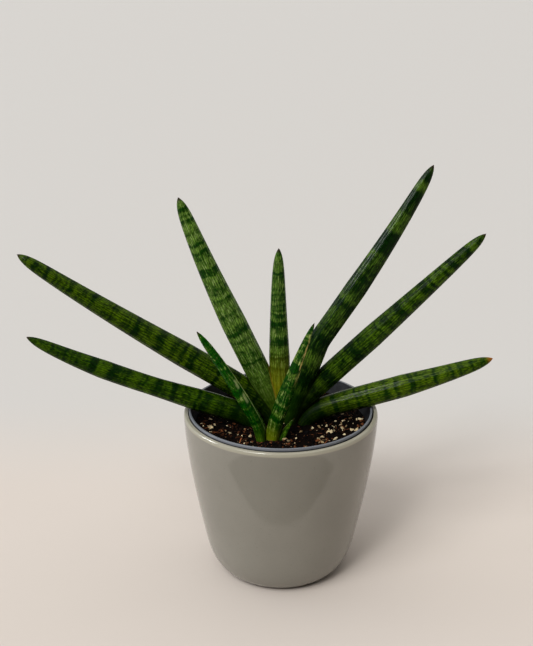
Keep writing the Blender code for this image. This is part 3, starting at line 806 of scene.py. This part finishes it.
def loft(name, rings, tip, grown=None, tip_grown=None):
    """A closed body through rings of equal size, flat at the foot and pointed at the tip."""
    count, sides, _ = rings.shape
    points = np.concatenate([rings.reshape(-1, 3), tip[None, :]])
    i = np.arange(sides)
    j = (i + 1) % sides
    faces = []
    for ring in range(count - 1):
        low = ring * sides
        high = low + sides
        faces += np.stack([low + i, low + j, high + j, high + i], axis=1).tolist()
    last = (count - 1) * sides
    faces += [[last + a, last + b, count * sides] for a, b in zip(i.tolist(), j.tolist())]
    faces.append(list(range(sides))[::-1])
    mesh = bpy.data.meshes.new(name)
    mesh.from_pydata(points.tolist(), [], faces)
    if grown is not None:
        values = np.concatenate([grown.reshape(-1, 3), tip_grown[None, :]])
        layer = mesh.attributes.new("grown", "FLOAT_VECTOR", "POINT")
        layer.data.foreach_set("vector", values.astype(np.float32).ravel())
    point_outward(mesh)
    return add_object(name, mesh)


def point_outward(mesh):
    bm = bmesh.new()
    bm.from_mesh(mesh)
    bmesh.ops.recalc_face_normals(bm, faces=bm.faces)
    bm.to_mesh(mesh)
    bm.free()


def new_geometry_tree(name, sockets):
    """A geometry tree with the named inputs. Returns it with its input and output nodes."""
    group = bpy.data.node_groups.new(name, "GeometryNodeTree")
    for label, kind in (("Geometry", "Geometry"), *sockets):
        group.interface.new_socket(name=label, in_out="INPUT", socket_type=f"NodeSocket{kind}")
    group.interface.new_socket(name="Geometry", in_out="OUTPUT", socket_type="NodeSocketGeometry")
    tree = Tree(group)
    return group, tree, tree.add("NodeGroupInput").outputs, tree.add("NodeGroupOutput").inputs


def add_geometry_nodes(obj, group, **values):
    """Puts the tree on the object. An input's name has its spaces written as underscores."""
    modifier = obj.modifiers.new(group.name, "NODES")
    modifier.node_group = group
    for item in group.interface.items_tree:
        key = item.name.replace(" ", "_")
        if item.item_type == "SOCKET" and item.in_out == "INPUT" and key in values:
            modifier[item.identifier] = values[key]


def end_tree(tree, geometry, finish, output):
    real = tree.add("GeometryNodeRealizeInstances", {"Geometry": geometry})
    dressed = tree.add("GeometryNodeSetMaterial", {"Geometry": real.outputs[0],
                                                   "Material": finish})
    tree.feed(output, dressed.outputs[0])


def ribs_tree():
    """Raises even ribs that run the length of a leaf, round its skin."""
    sockets = (("Ribs", "Int"), ("Depth", "Float"), ("Start", "Float"), ("Fade In", "Float"),
               ("Full Radius", "Float"), ("Skin", "Material"))
    group, tree, given, result = new_geometry_tree("leaf ribs", sockets)
    across, depth, along = tree.split(tree.stored("grown", "FLOAT_VECTOR"))
    crest = tree.math("COSINE", tree.times(tree.math("ARCTAN2", depth, across), given["Ribs"]))
    past_start = tree.math("DIVIDE", tree.minus(along, given["Start"]), given["Fade In"])
    shown = tree.spread(past_start, 0.0, 1.0)
    size = tree.size(across, depth)
    share = tree.math("MINIMUM", tree.math("DIVIDE", size, given["Full Radius"]), 1.0)
    lift = tree.times(tree.times(crest, given["Depth"]), tree.times(shown, share))
    offset = tree.add("ShaderNodeVectorMath", operation="SCALE")
    tree.feed(offset.inputs[0], tree.add("GeometryNodeInputNormal").outputs["Normal"])
    tree.feed(offset.inputs["Scale"], lift)
    moved = tree.add("GeometryNodeSetPosition", {"Geometry": given["Geometry"],
                                                 "Offset": offset.outputs[0]})
    end_tree(tree, moved.outputs[0], given["Skin"], result["Geometry"])
    return group


def scatter_tree():
    """Strews copies of the shapes in a collection over the upward faces of a surface."""
    sockets = (("Density", "Float"), ("Seed", "Int"), ("Shapes", "Collection"),
               ("Smallest", "Float"), ("Largest", "Float"), ("Sink", "Float"), ("Tilt", "Float"),
               ("Outer Radius", "Float"), ("Finish", "Material"))
    group, tree, given, result = new_geometry_tree("strewn crumbs", sockets)
    normal_z = tree.split(tree.add("GeometryNodeInputNormal").outputs["Normal"])[2]
    x, y, _ = tree.split(tree.add("GeometryNodeInputPosition").outputs["Position"])
    inside = tree.math("LESS_THAN", tree.size(x, y), given["Outer Radius"])
    upward = tree.math("GREATER_THAN", normal_z, STREWN_SLOPE)
    points = tree.add("GeometryNodeDistributePointsOnFaces", {
        "Mesh": given["Geometry"], "Selection": tree.times(inside, upward),
        "Density": tree.times(given["Density"], tree.stored("share", "FLOAT")),
        "Seed": given["Seed"]})
    shapes = tree.add("GeometryNodeCollectionInfo", {
        "Collection": given["Shapes"], "Separate Children": True, "Reset Children": True})
    back = tree.times(given["Tilt"], -1.0)
    turn = tree.add("FunctionNodeRandomValue", {"Seed": given["Seed"]}, data_type="FLOAT_VECTOR")
    tree.feed(turn.inputs[0], tree.join(back, back, 0.0))
    tree.feed(turn.inputs[1], tree.join(given["Tilt"], given["Tilt"], math.tau))
    small_often = tree.math("POWER", tree.random_share(SIZE_SEED), 2.0)
    span = tree.minus(given["Largest"], given["Smallest"])
    scale = tree.scaled(small_often, span, given["Smallest"])
    copies = tree.add("GeometryNodeInstanceOnPoints", {
        "Points": points.outputs["Points"], "Instance": shapes.outputs[0], "Pick Instance": True,
        "Rotation": turn.outputs[0], "Scale": scale})
    sunk = tree.times(tree.times(given["Sink"], scale), -1.0)
    lowered = tree.add("GeometryNodeTranslateInstances", {
        "Instances": copies.outputs[0], "Translation": tree.join(0.0, 0.0, sunk),
        "Local Space": False})
    toned = tree.add("GeometryNodeStoreNamedAttribute", {
        "Geometry": lowered.outputs[0], "Name": "tone", "Value": tree.random_share(TONE_SEED)},
        data_type="FLOAT", domain="INSTANCE")
    end_tree(tree, toned.outputs[0], given["Finish"], result["Geometry"])
    return group


def clasp_margin(obj, cutters):
    """Marks the skin close to where the leaf meets the leaves inside it."""
    mesh = obj.data
    trees = []
    for cutter in cutters:
        bm = bmesh.new()
        bm.from_mesh(cutter.data)
        trees.append(BVHTree.FromBMesh(bm))
        bm.free()
    values = np.zeros(len(mesh.vertices), dtype=np.float32)
    for index, vert in enumerate(mesh.vertices):
        for tree in trees:
            distance = tree.find_nearest(vert.co, 2.0 * CLASP_MARK)[3]
            if distance is not None:
                near = 1.0 - min(distance / CLASP_MARK, 1.0)
                values[index] = max(values[index], near)
    layer = mesh.attributes.new("margin", "FLOAT", "POINT")
    layer.data.foreach_set("value", values)


def keep_largest_body(mesh):
    """Drops the loose scraps that a cut leaves beside the main body."""
    bm = bmesh.new()
    bm.from_mesh(mesh)
    unseen = set(bm.verts)
    bodies = []
    while unseen:
        body = []
        fringe = [unseen.pop()]
        while fringe:
            vert = fringe.pop()
            body.append(vert)
            near = {edge.other_vert(vert) for edge in vert.link_edges} & unseen
            unseen -= near
            fringe.extend(near)
        bodies.append(body)
    for scrap in sorted(bodies, key=len)[:-1]:
        bmesh.ops.delete(bm, geom=scrap, context="VERTS")
    bm.to_mesh(mesh)
    bm.free()


def cut_away(obj, cutters):
    for cutter in cutters:
        cut = obj.modifiers.new(f"Difference {cutter.name}", "BOOLEAN")
        cut.operation = "DIFFERENCE"
        cut.solver = "MANIFOLD"
        cut.object = cutter
    make_plain(obj)
    keep_largest_body(obj.data)


def grow_leaf(leaf, ribs, inside):
    """One leaf with its ribs and skin, cut to clasp the leaves inside it."""
    stations = crowded_stations(leaf.length, leaf.rings, 0.5)
    rings, grown = leaf_rings(leaf, stations, leaf.sides)
    tip = leaf_axis(leaf, np.array([leaf.length]))[0]
    obj = loft(f"{leaf.name}_skin", rings, tip, grown, np.array([0.0, 0.0, leaf.length / MM]))
    skin = leaf_skin(leaf)
    obj.data.materials.append(skin)
    full = leaf.radius / MM
    ribs_look = {"Start": RIB_START / MM, "Fade_In": RIB_LENGTH / MM, "Full_Radius": full,
                 "Skin": skin}
    add_geometry_nodes(obj, ribs, Ribs=BROAD_RIBS, Depth=BROAD_RIB_DEPTH, **ribs_look)
    add_geometry_nodes(obj, ribs, Ribs=VEIN_COUNT, Depth=VEIN_DEPTH, **ribs_look)
    make_plain(obj)
    if inside:
        cut_away(obj, inside)
    clasp_margin(obj, inside)
    finish_piece(obj, [leaf.name], LEAF_SHARP)


def leaf_cutter(leaf):
    """The lower part of a leaf, plain and a little larger, to cut what lies round it."""
    stations = crowded_stations(leaf.length, 80, 0.5)
    stations = stations[stations < CUTTER_REACH]
    rings, _ = leaf_rings(leaf, stations, CUTTER_SIDES, SKIN_GAP)
    tip = leaf_axis(leaf, stations[-1:] + SKIN_GAP)[0]
    return loft(f"round_{leaf.name}", rings, tip)


def grow_shoot(leaves, ribs):
    inside = []
    for leaf in leaves:
        grow_leaf(leaf, ribs, inside)
        inside.append(leaf_cutter(leaf))
    return inside


def bend(start, control, end, count):
    """Points of a quadratic curve in (radius, height), without its start."""
    points = []
    for step in range(1, count + 1):
        t = step / count
        points.append(tuple((1 - t) ** 2 * a + 2 * t * (1 - t) * b + t * t * c
                            for a, b, c in zip(start, control, end)))
    return points


def turned(name, profile, place, material):
    """A closed body of revolution. The profile starts and ends on the axis."""
    mesh = bpy.data.meshes.new(name)
    points = [(radius, 0.0, height) for radius, height in profile]
    mesh.from_pydata(points, [(i, i + 1) for i in range(len(points) - 1)], [])
    obj = add_object(name, mesh)
    screw = obj.modifiers.new("Turn", "SCREW")
    screw.axis = "Z"
    screw.steps = TURNED_SIDES
    screw.render_steps = TURNED_SIDES
    screw.use_merge_vertices = True
    screw.merge_threshold = 0.000001
    make_plain(obj)
    obj.data.transform(Matrix.Translation(place))
    obj.data.materials.append(material)
    return obj


def cover_pot_profile():
    """From the inner floor up the inside, over the lip, down the outside and under the foot."""
    inner_lip = COVER_RIM_RADIUS - COVER_LIP
    top = COVER_HEIGHT
    floor_edge = (COVER_FOOT_RADIUS - COVER_FLOOR_INSET, COVER_FLOOR)
    inner_corner = (COVER_CORNER_RADIUS - COVER_WALL, COVER_CORNER_HEIGHT)
    inner_top = (inner_lip, top - COVER_LIP_DEPTH)
    lip_top = (COVER_RIM_RADIUS - COVER_LIP_ROUND, top)
    wall_top = (COVER_RIM_RADIUS, top - COVER_SHOULDER)
    corner = (COVER_CORNER_RADIUS, COVER_CORNER_HEIGHT)
    foot = (COVER_FOOT_RADIUS, 0.0)
    profile = [(0.0, COVER_FLOOR), floor_edge]
    profile += bend(floor_edge, (inner_corner[0] - COVER_CORNER_PULL, COVER_FLOOR),
                    inner_corner, 8)
    profile += bend(inner_corner, (inner_lip - COVER_BOW_INSET, COVER_BOW_HEIGHT), inner_top, 10)
    profile += bend((inner_lip, top - COVER_LIP_EASE), (inner_lip, top),
                    (inner_lip + COVER_LIP_EASE, top), 5)
    profile += [lip_top]
    profile += bend(lip_top, (COVER_RIM_RADIUS, top), wall_top, 10)
    profile += bend(wall_top, (COVER_RIM_RADIUS - COVER_BOW_INSET, COVER_BOW_HEIGHT), corner, 20)
    profile += bend(corner, (corner[0] - COVER_CORNER_PULL, COVER_FOOT_PULL), foot, 16)
    profile += [(0.0, 0.0)]
    return profile


def nursery_pot_profile():
    height = NURSERY_HEIGHT
    under_rim = height - NURSERY_RIM_DEPTH
    rim = NURSERY_RIM_RADIUS
    inner_rim = rim - NURSERY_RIM_THICKNESS
    edge = NURSERY_EDGE
    profile = [(0.0, NURSERY_WALL), (NURSERY_FLOOR_RADIUS - NURSERY_WALL, NURSERY_WALL)]
    profile += [(NURSERY_HEEL_RADIUS - NURSERY_WALL, NURSERY_HEEL_HEIGHT)]
    profile += [(NURSERY_BODY_RADIUS - NURSERY_WALL, under_rim), (inner_rim, height - edge)]
    profile += bend((inner_rim, height - edge), (inner_rim, height), (inner_rim + edge, height), 4)
    profile += [(rim - edge, height)]
    profile += bend((rim - edge, height), (rim, height), (rim, height - edge), 4)
    profile += [(rim, under_rim + edge)]
    profile += bend((rim, under_rim + edge), (rim, under_rim), (rim - edge, under_rim), 4)
    profile += [(NURSERY_BODY_RADIUS, under_rim), (NURSERY_HEEL_RADIUS, NURSERY_HEEL_HEIGHT)]
    profile += [(NURSERY_FLOOR_RADIUS, 0.0), (0.0, 0.0)]
    return profile


def make_pots():
    cover = turned("cover_pot_glazed", cover_pot_profile(), (0.0, 0.0, 0.0), taupe_glaze())
    finish_piece(cover, ["cover_pot"], POT_SHARP)
    seat = (NURSERY_SHIFT, 0.0, NURSERY_FOOT)
    nursery = turned("nursery_pot_moulded", nursery_pot_profile(), seat, charcoal_plastic())
    drills = []
    for index in range(DRAIN_HOLE_COUNT):
        angle = math.tau * (index + DRAIN_HOLE_PHASE) / DRAIN_HOLE_COUNT
        place = (NURSERY_SHIFT + DRAIN_HOLE_CIRCLE * math.cos(angle),
                 DRAIN_HOLE_CIRCLE * math.sin(angle), NURSERY_FOOT + NURSERY_WALL / 2)
        bpy.ops.mesh.primitive_cylinder_add(vertices=40, radius=DRAIN_HOLE_RADIUS,
                                            depth=4 * NURSERY_WALL, location=place)
        drills.append(bpy.context.object)
    cut_away(nursery, drills)
    drop(*drills)
    finish_piece(nursery, ["nursery_pot"], POT_SHARP)


def mix_relief(x, y):
    """Height of the crumbly surface over its mean level."""
    place = Vector((x, y, MIX_SEED_OFFSET))
    return sum(depth * noise.noise(place / size) for depth, size in MIX_RELIEF)


def make_mix(cutters):
    """The potting mix as one body with a crumbly top and a close hole for each stem."""
    rings = []
    shares = np.linspace(0.0, 1.0, MIX_RINGS + 1)[1:] ** MIX_RING_POWER
    angles = 2.0 * np.pi * np.arange(MIX_SIDES) / MIX_SIDES
    for share in shares:
        calm = float(smoothstep((share - MIX_EDGE_SHARE) / (1.0 - MIX_EDGE_SHARE)))
        keep = 1.0 - (1.0 - MIX_EDGE_RELIEF) * calm
        ring = []
        for angle in angles:
            x = MIX_RADIUS * share * math.cos(angle)
            y = MIX_RADIUS * share * math.sin(angle)
            ring.append((x + NURSERY_SHIFT, y, MIX_LEVEL + keep * mix_relief(x, y)))
        rings.append(ring)
    for radius, height in ((MIX_HEEL_RADIUS, MIX_FOOT + NURSERY_HEEL_HEIGHT - NURSERY_WALL),
                           (MIX_FLOOR_RADIUS, MIX_FOOT)):
        rings.append([(radius * math.cos(angle) + NURSERY_SHIFT, radius * math.sin(angle), height)
                      for angle in angles])
    centre = np.array([NURSERY_SHIFT, 0.0, MIX_LEVEL + mix_relief(0.0, 0.0)])
    obj = loft("potting_mix_packed", np.array(rings)[::-1], centre)
    obj.data.materials.append(shaded_mix())
    cut_away(obj, cutters)
    finish_piece(obj, ["potting_mix"], MIX_SHARP)
    return obj


def keep_shape(bm, name, collection):
    mesh = bpy.data.meshes.new(name)
    bm.to_mesh(mesh)
    bm.free()
    collection.objects.link(bpy.data.objects.new(name, mesh))


def crumb_shape(name, collection, stretch, roughness, seed):
    """One rough grain about one metre across, to be scaled down where it is strewn."""
    bm = bmesh.new()
    bmesh.ops.create_icosphere(bm, subdivisions=1, radius=0.5)
    for vert in bm.verts:
        place = vert.co * CRUMB_LUMPS + Vector((seed, seed * 1.7, 0.0))
        vert.co *= 1.0 + roughness * noise.noise(place)
        vert.co = Vector(a * b for a, b in zip(vert.co, stretch))
    keep_shape(bm, name, collection)


def fibre_shape(name, collection, bow, seed):
    """A splinter of bark one metre long, bowed and thinner at its ends."""
    bm = bmesh.new()
    loops = []
    for station in FIBRE_STATIONS:
        width = FIBRE_WIDTH * (1.0 - FIBRE_TAPER * station ** 2)
        height = bow * (0.25 - station * station)
        loop = []
        for side in range(FIBRE_SIDES):
            angle = math.tau * (side + 0.5) / FIBRE_SIDES
            wiggle = 1.0 + 0.5 * noise.noise(Vector((station * 4.0, side, seed)))
            lift = FIBRE_FLATNESS * width * wiggle * math.sin(angle)
            loop.append(bm.verts.new((station, width * wiggle * math.cos(angle), height + lift)))
        loops.append(loop)
    for lower, upper in zip(loops, loops[1:]):
        for i in range(FIBRE_SIDES):
            j = (i + 1) % FIBRE_SIDES
            bm.faces.new((lower[i], lower[j], upper[j], upper[i]))
    bm.faces.new(loops[0])
    bm.faces.new(loops[-1])
    bmesh.ops.recalc_face_normals(bm, faces=bm.faces)
    keep_shape(bm, name, collection)


def everywhere(_):
    return 1.0


def in_patches(place):
    """Perlite lies in loose patches, with a few grains between them."""
    near = sum(math.exp(-((place.x - x) ** 2 + (place.y - y) ** 2) / PATCH_REACH ** 2)
               for x, y in PERLITE_PATCHES)
    return PATCH_STRAYS + min(near, 1.0)


def strew(name, surface, group, shapes, finish, share, **values):
    """A piece of its own made of grains strewn over the surface, thick where the share is high."""
    mesh = surface.data.copy()
    shares = np.array([share(vert.co) for vert in mesh.vertices], dtype=np.float32)
    mesh.attributes.new("share", "FLOAT", "POINT").data.foreach_set("value", shares)
    obj = add_object(name, mesh)
    add_geometry_nodes(obj, group, Shapes=shapes, Finish=finish, **values)
    make_plain(obj)
    finish_piece(obj, (), CRUMB_SHARP)


def make_crumbs(mix):
    group = scatter_tree()
    grains = bpy.data.collections.new("grain shapes")
    splinters = bpy.data.collections.new("splinter shapes")
    pebbles = bpy.data.collections.new("perlite shapes")
    for index in range(SHAPES_OF_EACH):
        crumb_shape(f"grain_{index}", grains, *PEAT_SHAPE, seed=3.1 * index)
        fibre_shape(f"splinter_{index}", splinters, bow=0.2 * index, seed=5.0 * index)
        crumb_shape(f"perlite_{index}", pebbles, *PERLITE_SHAPE, seed=9.3 * index)
    radius = MIX_RADIUS - STREWN_INSET
    peat = crumb_finish("peat crumbs", PEAT, 0.9, darken=4.0)
    bark = crumb_finish("bark fibres", BARK, 0.85, darken=2.0)
    chalk = crumb_finish("perlite grains", PERLITE, 0.85, darken=0.7, grain=1500.0)
    strew("peat_crumbs", mix, group, grains, peat, everywhere, Density=150000.0, Seed=11,
          Smallest=0.001, Largest=0.005, Sink=0.12, Tilt=1.4, Outer_Radius=radius)
    strew("bark_fibres", mix, group, splinters, bark, everywhere, Density=30000.0, Seed=23,
          Smallest=0.002, Largest=0.008, Sink=-0.04, Tilt=0.35, Outer_Radius=radius - 0.002)
    strew("perlite_grains", mix, group, pebbles, chalk, in_patches, Density=95000.0, Seed=31,
          Smallest=0.0008, Largest=0.0042, Sink=-0.05, Tilt=1.2, Outer_Radius=radius - 0.001)
    for collection in (grains, splinters, pebbles):
        drop(*collection.objects)
        bpy.data.collections.remove(collection)


def make_camera():
    data = bpy.data.cameras.new("photo camera")
    data.sensor_width = SENSOR
    data.lens = SENSOR * FOCAL_PIXELS / PHOTO_HEIGHT
    data.clip_start, data.clip_end = CAMERA_CLIP
    camera = add_object("photo camera", data)
    camera.location = CAMERA_PLACE
    camera.rotation_euler = (math.radians(90.0 - CAMERA_PITCH), 0.0, 0.0)
    bpy.context.scene.camera = camera


def soft_sun(name, source, power, spread):
    """Even soft light from one direction."""
    data = bpy.data.lights.new(name, "SUN")
    data.energy = power
    data.angle = math.radians(spread)
    light = add_object(name, data)
    light.rotation_euler = Vector(source).to_track_quat("Z", "Y").to_euler()
    return light


def soft_room():
    """A bright ceiling, a window at the left, a pale far side, and an even backdrop."""
    world = bpy.data.worlds.new("soft room")
    bpy.context.scene.world = world
    world.use_nodes = True
    tree = Tree(world.node_tree)
    direction = tree.add("ShaderNodeTexCoord").outputs["Generated"]
    sideways, away, up = tree.split(direction)
    ceiling = tree.times(tree.spread(up, *CEILING_FADE), CEILING_LIGHT)
    far_wall = tree.spread(away, *FAR_WALL_LIGHT)
    right = tree.spread(sideways, *RIGHT_WALL_LIGHT)
    left = tree.times(tree.spread(sideways, *SIDE_WINDOW_EDGE),
                      tree.spread(up, *SIDE_WINDOW_SILL))
    light = tree.plus(tree.plus(ceiling, far_wall), tree.plus(right, ROOM_LIGHT))
    warm = tree.mix(1.0, tree.grey(light), ROOM_WARMTH, "MULTIPLY")
    lit = tree.mix(1.0, warm, tree.mix(left, (0.0, 0.0, 0.0), SIDE_WINDOW), "ADD")
    seen = tree.add("ShaderNodeLightPath").outputs["Is Camera Ray"]
    shade = world.node_tree.nodes["Background"]
    tree.feed(shade.inputs["Color"], tree.mix(seen, lit, BACKDROP))


def make_floor():
    material, tree, shader = new_material("pale floor", 0.75)
    place = tree.object_place()
    near = tree.mix(tree.noise(place, 5.0), *FLOOR_NEAR)
    colour = tree.mix(tree.spread(tree.split(place)[1], *FLOOR_FADE), near, FLOOR_FAR)
    tree.feed(shader.inputs["Base Color"], colour)
    bpy.ops.mesh.primitive_circle_add(vertices=96, radius=FLOOR_RADIUS, fill_type="NGON",
                                      location=(0.0, 0.0, -FLOOR_DROP))
    floor = bpy.context.object
    floor.name = "floor"
    floor.data.materials.append(material)


def make_dark_card():
    """Lies on the floor in front of the pot. Only the gloss sees it."""
    material, _, shader = new_material("dark card", 0.9)
    shader.inputs["Base Color"].default_value = CARD_COLOUR
    place = (0.0, CARD_NEAR - CARD_DEPTH / 2, CARD_LIFT)
    bpy.ops.mesh.primitive_plane_add(size=1.0, location=place)
    card = bpy.context.object
    card.name = "dark_card"
    card.scale = (CARD_WIDTH, CARD_DEPTH, 1.0)
    card.visible_camera = False
    card.visible_diffuse = False
    card.visible_shadow = False
    card.data.materials.append(material)


def make_stage():
    """A plain pale floor and soft light from the left and above."""
    make_floor()
    make_dark_card()
    soft_room()
    soft_sun("window light", *WINDOW_LIGHT)
    soft_sun("ceiling lamp", *CEILING_LAMP)
    low_window = soft_sun("low window", *LOW_WINDOW)
    low_window.visible_diffuse = False


def set_view():
    settings = bpy.context.scene.view_settings
    settings.view_transform = "Standard"
    settings.look = "Medium High Contrast"


def build():
    make_camera()
    make_pots()
    ribs = ribs_tree()
    cutters = grow_shoot(FAN_LEAVES, ribs) + grow_shoot(OFFSHOOT_LEAVES, ribs)
    mix = make_mix(cutters)
    drop(*cutters)
    make_crumbs(mix)
    rhizome = frame["nodes"]["rhizome"]
    rhizome.data.materials.clear()
    rhizome.data.materials.append(rhizome_finish())
    make_stage()
    set_view()


build()
